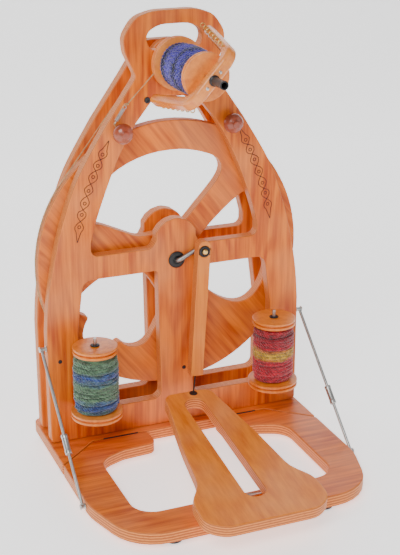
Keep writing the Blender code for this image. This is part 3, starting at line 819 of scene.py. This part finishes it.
class SPINNINGWHEEL_OT_flyer(Piece):
    """Builds the cup hooks, the orifice tube and the flyer's screws"""
    bl_idname = "spinningwheel.flyer"
    bl_label = "Flyer fittings"

    def execute(self, context):
        sizes = looks().fittings
        brass = metal("hook_brass", sizes.brass, 0.16)
        black = moulded("orifice_black", sizes.black, 0.28)
        steel = metal("flyer_steel", sizes.steel, 0.20)
        low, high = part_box("flyer_bow")
        front, back = low.y, high.y
        half = (high.x - low.x) / 2 / math.cos(FLYER_LEAN) - PLY / 2 * math.tan(FLYER_LEAN)
        splay = 0.019
        normal = Quaternion((0, 1, 0), -FLYER_LEAN) @ UP
        hooks, collars = [], []
        for side in (-1, 1):
            rear = Vector((0, back, SPINDLE.z)) + ARM_WAY * side * half
            fore = Vector((0, front, SPINDLE.z)) + ARM_WAY * side * (half - splay)
            tangent = (rear - fore).normalized()
            out = (ARM_WAY * side - tangent * (ARM_WAY * side).dot(tangent)).normalized()
            for k in range(sizes.hooks):
                share = 0.22 + 0.74 * k / max(1, sizes.hooks - 1)
                at = fore.lerp(rear, share) - out * 0.0066 + normal * side * PLY / 2
                hooks.append(cup_hook(at, normal * side, out, sizes.hook_wire, sizes.hook_reach))
                collars.append([at - normal * side * 0.0006, at + normal * side * 0.0009])
        wired("cup_hooks", hooks, sizes.hook_wire / 2, 2, "flyer", brass)
        wired("cup_hook_collars", collars, 0.0016, 2, "flyer", brass)
        low, high, _, radius = round_box("orifice_tube")
        deep = high.y - low.y
        profile = [(0, 0), (radius + 0.0015, 0), (radius + 0.0015, 0.003), (radius - 0.0003, 0.0042),
                   (radius - 0.0003, deep - 0.005), (radius, deep - 0.004), (radius, deep),
                   (radius - 0.0018, deep), (radius - 0.0018, 0.010), (0, 0.010)]
        turned("orifice", profile, 0.0006, (0, high.y, SPINDLE.z), TO_FRONT, 48, "flyer",
               "black_nylon", black, ("orifice_tube",))
        for side, word in ((-1, "lower"), (1, "upper")):
            at = Vector((0, front, SPINDLE.z)) + ARM_WAY * side * 0.0135
            head = softened([(0, -0.0008), (0.0024, -0.0008), (0.0024, 0.0004), (0.0015, 0.0010),
                             (0, 0.0011)], 0.0004)
            place("bow_pin_" + word, lathe(head, at, TO_FRONT, 24), "flyer", steel)
        return {"FINISHED"}


class SPINNINGWHEEL_OT_brake(Piece):
    """Builds the brake: two knobs, a cord over the flange, a ring, a coil spring and its knots"""
    bl_idname = "spinningwheel.brake"
    bl_label = "Brake"

    def execute(self, context):
        sizes, wood = looks().fittings, looks().wood
        red_wood = turned_wood("knob_wood", wood.knob_light, wood.knob_dark, (math.pi / 2, 0, 0), 0.12)
        cord = spun_cord("brake_twine", sizes.cord)
        steel = metal("spring_steel", sizes.steel, 0.18)
        for word in ("left", "right"):
            node = "brake_knob_" + word
            low, high, centre, big = round_box(node)
            deep = high.y - low.y
            profile = [(0, 0), (0.0052, 0), (0.0046, 0.0032), (big * 0.66, 0.0052), (big - 0.0006, 0.0105),
                       (big, 0.0135), (big - 0.0004, 0.0170), (big * 0.80, 0.0215), (big * 0.50, 0.0240),
                       (0.0056, 0.0246), (0.0058, deep - 0.0006), (0.0045, deep), (0, deep)]
            turned("knob_" + word, profile, 0.0010, (centre.x, high.y, centre.z), TO_FRONT, 56,
                   "knob_" + word, "lacquered_ply", red_wood, (node,))
        low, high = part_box("brake_spring")
        level = (low.y + high.y) / 2
        top = Vector((high.x - 0.0025, level, high.z - 0.0015))
        foot = Vector((low.x + 0.0025, level, low.z + 0.0015))
        along = (foot - top).normalized()
        side = along.cross(TO_FRONT).normalized()
        coil = []
        steps = sizes.coils * 14
        for k in range(steps + 1):
            angle = math.tau * sizes.coils * k / steps
            way = side * math.cos(angle) + TO_FRONT * math.sin(angle)
            coil.append(top.lerp(foot, k / steps) + way * COIL)
        ring_at = top - along * 0.0028
        eye = arc(ring_at, side, along, COIL, 0, math.tau, 24)
        low_eye = arc(foot + along * 0.0026, TO_FRONT, along, 0.0022, 0, math.tau, 20)
        wired("spring", [coil, eye, low_eye], SPRING_WIRE, 2, "stand", steel,
              ("brake_spring",))
        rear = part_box("flyer_bobbin")[1].y
        hub = Vector((0, rear - 0.0051, SPINDLE.z))
        groove = (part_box("flyer_bobbin")[1].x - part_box("flyer_bobbin")[0].x) / 2 - 0.0030
        end = ring_at + Vector((0.0016, 0, 0.0016))
        leave = math.radians(196)
        over = arc(hub, RIGHT, UP, groove, math.radians(-40), leave, 40)
        path = over + [over[-1].lerp(end, t) for t in (0.15, 0.35, 0.55, 0.75, 0.9, 1.0)]
        knot_at = end + (over[-1] - end).normalized() * 0.004
        knob = middle("brake_knob_left")
        tie_from, tie_to = foot + along * 0.0040, Vector((knob.x - 0.004, level, knob.z + 0.006))
        tie = [tie_from.lerp(tie_to, k / 6) + Vector((-0.002, 0, 0)) * math.sin(math.pi * k / 6)
               for k in range(7)]
        wrap = arc(Vector((knob.x, FRONT_FACE - 0.0030, knob.z)), RIGHT, UP, 0.0062, 2.2, 8.4, 30)
        tail = [knot_at, knot_at + Vector((-0.005, -0.002, 0.001)),
                knot_at + Vector((-0.008, -0.003, -0.005))]
        knot = arc(knot_at, side, TO_FRONT, 0.0013, 0, math.tau * 2.2, 24)
        lower_knot = arc(tie_from, along, TO_FRONT, 0.0014, 0, math.tau * 2.2, 24)
        strands = []
        for piece in (path, bent(tie, 0.001, 2), wrap, bent(tail, 0.002, 4), knot, lower_knot):
            strands += spun(piece, TWINE, TWINE_TWIST)
        wired("brake_twine", strands, 0.00050, 1, "stand", cord,
              ("brake_cord",))
        return {"FINISHED"}


class SPINNINGWHEEL_OT_rods(Piece):
    """Builds the crank, the stays and the bobbin pins in drawn steel"""
    bl_idname = "spinningwheel.rods"
    bl_label = "Steel rods"

    def execute(self, context):
        sizes = looks().fittings
        steel = metal("rod_steel", sizes.steel, 0.17)
        dark = metal("arm_steel", tuple(c * 0.62 for c in sizes.steel), 0.26)
        low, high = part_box("axle_crank")
        arm = FRONT_FACE - ARM_OUT
        crank = [Vector((at.x, y, at.z)) for at, y in
                 ((AXLE, high.y), (AXLE, arm), (PIN, arm), (PIN, low.y))]
        wired("crank_rod", [bent(crank, 0.0045, 6)], CRANK_ROD, 5, "wheel",
              dark, ("axle_crank",))
        for word, side in (("left", -1), ("right", 1)):
            upper_low, upper_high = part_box("stay_upper_" + word)
            lower_low, lower_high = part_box("stay_lower_" + word)
            thick = (upper_high.x - upper_low.x) / 2
            x = (upper_low.x + upper_high.x) / 2
            top = Vector((x, upper_high.y - thick * 0.7, upper_high.z - thick * 0.7))
            foot = Vector((x, lower_low.y + thick * 0.7, lower_low.z + thick * 0.7))
            along = (foot - top).normalized()
            knuckle = top.lerp(foot, 0.58)
            place("stay_rod_" + word, wires("stay_rod", [[top, knuckle], [knuckle, foot]], thick, detail=4),
                  "stand", steel, ("stay_upper_" + word, "stay_lower_" + word))
            profile = [(0.0024, -0.006), (0.0042, -0.006), (0.0048, -0.005), (0.0048, -0.002),
                       (0.0044, -0.001), (0.0044, 0.017), (0.0048, 0.018), (0.0048, 0.023),
                       (0.0040, 0.024), (0.0024, 0.024)]
            turned("stay_lock_" + word, profile, 0.0005, knuckle, along, 40, "stand", "steel",
                   steel, ("stay_sleeve_" + word,))
            for where, at in (("upper", top), ("lower", foot)):
                node = f"stay_stud_{where}_{word}"
                a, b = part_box(node)
                out = Vector((side, 0, 0))
                start = a.x if side > 0 else b.x
                reach = abs(x - start) + 0.0044
                screw = [(0, 0), (0.0046, 0), (0.0046, 0.0010), (0.0030, 0.0014), (0.0030, reach - 0.0020),
                         (0.0044, reach - 0.0018), (0.0040, reach - 0.0006), (0, reach)]
                centre = middle(node)
                turned(node + "_screw", screw, 0.0004, (start, centre.y, centre.z), out, 32,
                       "stand", "steel", steel, (node,))
            a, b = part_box("bobbin_pin_" + word)
            thick = (b.x - a.x) / 2
            x = (a.x + b.x) / 2
            bend = [Vector((x, b.y, a.z + thick)), Vector((x, a.y + thick, a.z + thick)),
                    Vector((x, a.y + thick, b.z - 0.0012))]
            wired("pin_" + word, [bent(bend, 0.0035, 6)], thick, 5, "stand",
                  steel, ("bobbin_pin_" + word,))
        return {"FINISHED"}


class SPINNINGWHEEL_OT_cords(Piece):
    """Lays the drive band and the flexible link of the footman"""
    bl_idname = "spinningwheel.cords"
    bl_label = "Drive band and link"

    def execute(self, context):
        sizes = looks().fittings
        cord = spun_cord("band_twine", sizes.cord)
        low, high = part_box("drive_band")
        level, thick = (low.y + high.y) / 2, (high.y - low.y) / 2
        big, small = (high.x - low.x) / 2 - thick, high.z - thick - SPINDLE.z
        lean = math.acos((big - small) / (SPINDLE.z - AXLE.z))
        side = RIGHT
        hub, top = Vector((0, level, AXLE.z)), Vector((0, level, SPINDLE.z))
        low_arc = arc(hub, side, UP, big, math.pi / 2 - lean, math.pi / 2 + lean - math.tau, 300)
        top_arc = arc(top, side, UP, small, math.pi / 2 + lean, math.pi / 2 - lean, 40)

        def run(a, b):
            return [a.lerp(b, k / 80) for k in range(1, 80)]
        path = low_arc + run(low_arc[-1], top_arc[0]) + top_arc + run(top_arc[-1], low_arc[0])
        wired("drive_cord", spun(path + [path[0]], thick * 0.46, BAND_TWIST), thick * 0.54, 1,
              "stand", cord, ("drive_band",))
        low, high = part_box("con_rod_cord")
        top = Vector((low.x + LINK_ROD, 0, high.z - 0.0006))
        end = Vector((high.x - LINK_ROD, 0, low.z + 0.0006))
        if abs(middle("footman").x - high.x) < abs(middle("footman").x - low.x):
            top.x, end.x = end.x, top.x
        top.y, end.y = high.y - LINK_ROD, low.y + LINK_ROD
        if middle("footman").y < (low.y + high.y) / 2:
            top.y, end.y = end.y, top.y
        leather = moulded("link_leather", (0.030, 0.024, 0.020), 0.42, 700.0, 0.3)
        wired("footman_link", [bent([top, top.lerp(end, 0.5), end], 0.001, 3)], LINK_ROD, 3,
              "treadle", leather, ("con_rod_cord",))
        eye = [(0, -0.0004), (0.0062, -0.0004), (0.0062, 0.0004), (0.0040, 0.0009), (0, 0.0006)]
        lean_up = Quaternion((1, 0, 0), TREADLE_TILT) @ UP
        turned("link_eyelet", eye, 0.0003, end - lean_up * 0.0010, lean_up, 32, "treadle",
               "black_nylon", moulded("eyelet_black", sizes.black, 0.35))
        return {"FINISHED"}


class SPINNINGWHEEL_OT_fittings(Piece):
    """Builds the bushes, feet and bolts, dark rods as painted shade in the hinge slots, and finishes the carried
    pieces
    """
    bl_idname = "spinningwheel.fittings"
    bl_label = "Bushes, feet and bolts"

    def execute(self, context):
        sizes = looks().fittings
        black = moulded("bush_black", sizes.black, 0.34)
        rubber = moulded("foot_rubber", tuple(c * 1.3 for c in sizes.black), 0.62, 500.0, 0.35)
        steel = metal("fitting_steel", sizes.steel, 0.2)
        brass = metal("cap_brass", sizes.brass, 0.16)
        for name, y, out in (("axle_bush_front", FRONT_FACE, TO_FRONT),
                             ("axle_bush_rear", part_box("rear_frame")[1].y, TO_BACK)):
            profile = [(AXLE_BORE, -PLY), (0.0086, -PLY), (0.0086, 0.0003), (0.0126, 0.0003),
                       (0.0124, 0.0020), (0.0104, 0.0030), (0.0062, 0.0031), (0.0056, 0.0022),
                       (AXLE_BORE, 0.0022)]
            turned(name + "_turned", profile, 0.0005, (0, y, AXLE.z), out, 48, "stand",
                   "black_nylon", black, (name,))
        low, high, _, radius = round_box("footman_bush")
        deep = high.y - low.y
        profile = [(AXLE_BORE, 0), (radius, 0), (radius, deep), (radius - 0.0016, deep + 0.0006),
                   (radius - 0.0022, deep - 0.0006), (AXLE_BORE, deep - 0.0006)]
        turned("footman_bearing", profile, 0.0004, (PIN.x, high.y, PIN.z), TO_FRONT, 40,
               "footman", "black_nylon", black, ("footman_bush",))
        low, high, _, radius = round_box("crank_pin_cap")
        deep = high.y - low.y
        profile = [(0, 0), (radius, 0), (radius, deep * 0.45), (radius * 0.72, deep * 0.9), (0, deep)]
        turned("pin_cap", profile, 0.0006, (PIN.x, high.y, PIN.z), TO_FRONT, 32, "wheel",
               "brass", brass, ("crank_pin_cap",))
        for node in (n for n in frame["nodes"] if n.startswith("foot_")):
            low, high, centre, radius = round_box(node)
            tall = high.z - low.z
            profile = [(0, 0), (radius * 0.78, 0), (radius * 0.93, 0.0016), (radius, 0.0042),
                       (radius - 0.0006, tall * 0.62), (radius - 0.0012, tall * 0.70), (radius, tall * 0.80),
                       (radius, tall), (0, tall)]
            turned(node + "_rubber", profile, 0.0008, (centre.x, centre.y, low.z), UP, 40,
                   "stand", "rubber", rubber, (node,))
        for word in ("left", "right"):
            low, high, centre, radius = round_box("tie_bolt_" + word)
            deep = high.y - low.y
            socket = radius * 0.5
            profile = [(0, deep * 0.25), (socket, deep * 0.25), (socket, deep), (radius * 0.8, deep),
                       (radius, deep * 0.6), (radius, 0), (0, 0)][::-1]
            turned("bolt_" + word, profile, 0.0003, (centre.x, high.y, centre.z), TO_FRONT, 32,
                   "stand", "black_nylon", black, ("tie_bolt_" + word,))
            low, high, centre, radius = round_box("bobbin_bush_" + word)
            tall = high.z - low.z
            profile = [(PIN_BORE, 0), (radius, 0), (radius * 0.94, tall * 0.8),
                       (radius * 0.6, tall), (PIN_BORE, tall)]
            turned(f"bobbin_{word}_bearing", profile, 0.0004, (centre.x, centre.y, low.z), UP, 36,
                   "bobbin_" + word, "black_nylon", black, ("bobbin_bush_" + word,))
        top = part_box("base_rear")[1].z
        for word in ("left", "right"):
            low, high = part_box("base_hinge_" + word)
            x = (low.x + high.x) / 2
            # Painted shade: a dark rubber rod along each hinge slot stands in for the shadow in the gap between
            # the base boards
            slot = [Vector((x + reach, FRONT_FACE - SEAM_OUT, top - 0.0010))
                    for reach in (-GAP_SHADE_HALF, GAP_SHADE_HALF)]
            wired("hinge_gap_shade_" + word, [slot], 0.0019, 3, "stand", rubber)
        plug = [(0, -0.0006), (0.0030, -0.0006), (0.0030, 0.0006), (0.0016, 0.0009), (0.0012, 0.0002),
                (0, 0.0002)]
        for name, x, z in (("plug_post", 0.011, 0.115), ("plug_leg", -0.182, 0.157)):
            turned(name, plug, 0.0003, (x, FRONT_FACE, z), TO_FRONT, 28, "stand", "black_nylon", black)
        carried = {"steel": steel, "brass": brass, "black_nylon": black, "rubber": rubber,
                   "golden_ply": bpy.data.materials["bobbin_wood"]}
        slots = {part["node"]: part["material_slot"] for part in frame["record"]["subparts"]}
        for name, node in frame["nodes"].items():
            if not node.hide_render:
                node.data.materials.clear()
                node.data.materials.append(carried[slots[name]])
        return {"FINISHED"}


class SPINNINGWHEEL_OT_ornament(Piece):
    """Burns a plain running vine into the front frame's two legs"""
    bl_idname = "spinningwheel.ornament"
    bl_label = "Leg ornament"

    def execute(self, context):
        wood = looks().wood
        burnt = moulded("burnt_line", tuple(c * 0.10 for c in wood.dark), 0.55, 600.0, 0.2)
        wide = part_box("front_frame")[1].x
        spine = [Vector((wide - inset, 0, AXLE.z + rise)) for inset, rise in
                 ((0.050, 0.045), (0.055, 0.075), (0.064, 0.105), (0.075, 0.135), (0.088, 0.163),
                  (0.101, 0.188))]
        spine = bent(spine, 0.03, 8)
        for side, word in ((-1, "left"), (1, "right")):
            path = [Vector((side * p.x, FRONT_FACE, p.z)) for p in spine]
            last = len(path) - 1
            lines, buds = [], []
            for phase in (0, math.pi):
                line = []
                for i, here in enumerate(path):
                    way = (path[min(i + 1, last)] - path[max(i - 1, 0)]).normalized()
                    wave = math.sin(math.tau * VINE_WAVES * i / last + phase)
                    line.append(here + way.cross(TO_FRONT) * VINE_SWING * wave)
                lines.append(line)
            for k in range(VINE_BUDS):
                here = path[round(last * (k + 0.5) / VINE_BUDS)]
                buds.append(arc(here, RIGHT, UP, 0.0022, 0, math.tau, 16))
            wired("vine_" + word, lines + buds, 0.00055, 1, "stand",
                  burnt)
        return {"FINISHED"}


class SPINNINGWHEEL_OT_stage(bpy.types.Operator):
    """Builds the pale floor, the soft lights and the camera"""
    bl_idname = "spinningwheel.stage"
    bl_label = "Stage"

    def execute(self, context):
        sizes = looks().studio
        mesh = bpy.data.meshes.new("floor")
        half, back, rise, bend = 6.0, 3.2, 5.0, 1.6
        rows = [(-6.0, 0.0)] + [(back - bend + bend * math.sin(a), bend - bend * math.cos(a))
                                for a in (math.radians(d) for d in range(0, 91, 6))] + [(back, rise)]
        points = [(x, y, z - 0.0002) for y, z in rows for x in (-half, half)]
        faces = [(2 * k, 2 * k + 1, 2 * k + 3, 2 * k + 2) for k in range(len(rows) - 1)]
        mesh.from_pydata(points, [], faces)
        mesh.shade_smooth()
        floor = bpy.data.objects.new("floor", mesh)
        context.scene.collection.objects.link(floor)
        paper, s, principled, coords = surface("paper_floor")
        cloud = s.noise(coords.outputs["Object"], 1.4, 3.0)
        pale = tuple(c * 0.985 for c in sizes.floor)
        s.feed(principled.inputs["Base Color"], s.mix(cloud, rgba(sizes.floor), rgba(pale)))
        principled.inputs["Roughness"].default_value = 0.85
        principled.inputs["Emission Color"].default_value = (1, 1, 1, 1)
        principled.inputs["Emission Strength"].default_value = 1.1
        mesh.materials.append(paper)
        world = context.scene.world or bpy.data.worlds.new("studio")
        context.scene.world = world
        world.use_nodes = True
        backdrop = world.node_tree.nodes["Background"]
        backdrop.inputs["Color"].default_value = (1, 1, 1, 1)
        backdrop.inputs["Strength"].default_value = sizes.sky
        target = Vector((0, 0, 0.30))
        for name, at, power, wide in (("key", (-1.3, -1.7, 2.0), sizes.key, 1.3),
                                      ("fill", (1.9, -1.2, 1.3), sizes.fill, 1.6),
                                      ("rim", (0.6, 1.6, 2.1), sizes.fill, 1.2)):
            light = bpy.data.lights.new(name, "AREA")
            light.energy = power
            light.size = wide
            lamp = bpy.data.objects.new(name, light)
            lamp.location = at
            lamp.rotation_euler = (target - Vector(at)).to_track_quat("-Z", "Y").to_euler()
            context.scene.collection.objects.link(lamp)
        data = bpy.data.cameras.new("camera")
        data.sensor_fit = "VERTICAL"
        data.sensor_height = CAMERA_SENSOR
        data.lens = CAMERA_LENS
        data.clip_start = 0.05
        camera = bpy.data.objects.new("camera", data)
        camera.location = CAMERA_AT
        way = Vector(CAMERA_TO) - Vector(CAMERA_AT)
        camera.rotation_euler = way.to_track_quat("-Z", "Y").to_euler()
        context.scene.collection.objects.link(camera)
        context.scene.camera = camera
        return {"FINISHED"}


PIECES = (SPINNINGWHEEL_OT_frames, SPINNINGWHEEL_OT_base, SPINNINGWHEEL_OT_wheel, SPINNINGWHEEL_OT_drive,
          SPINNINGWHEEL_OT_bobbins, SPINNINGWHEEL_OT_yarn, SPINNINGWHEEL_OT_flyer, SPINNINGWHEEL_OT_brake,
          SPINNINGWHEEL_OT_rods, SPINNINGWHEEL_OT_cords, SPINNINGWHEEL_OT_fittings,
          SPINNINGWHEEL_OT_ornament, SPINNINGWHEEL_OT_stage)


class SPINNINGWHEEL_PT_looks(bpy.types.Panel):
    bl_label = "Spinning Wheel"
    bl_space_type = "VIEW_3D"
    bl_region_type = "UI"
    bl_category = "Spinning Wheel"

    def draw(self, context):
        settings = looks()
        for group in (settings.wood, settings.yarn, settings.fittings, settings.studio):
            box = self.layout.box()
            for key in group.bl_rna.properties.keys():
                if key not in ("rna_type", "name"):
                    box.prop(group, key)
        for operator in PIECES:
            self.layout.operator(operator.bl_idname)


CLASSES = (WoodSizes, YarnSizes, FittingSizes, StudioSizes, SpinningWheelLooks, *PIECES,
           SPINNINGWHEEL_PT_looks)


def register():
    for entry in CLASSES:
        bpy.utils.register_class(entry)
    bpy.types.Scene.spinning_wheel_looks = PointerProperty(type=SpinningWheelLooks)


def unregister():
    del bpy.types.Scene.spinning_wheel_looks
    for entry in reversed(CLASSES):
        bpy.utils.unregister_class(entry)


def main():
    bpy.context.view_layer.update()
    register()
    for operator in PIECES:
        group, name = operator.bl_idname.split(".")
        getattr(getattr(bpy.ops, group), name)()


if __name__ == "__main__":
    main()
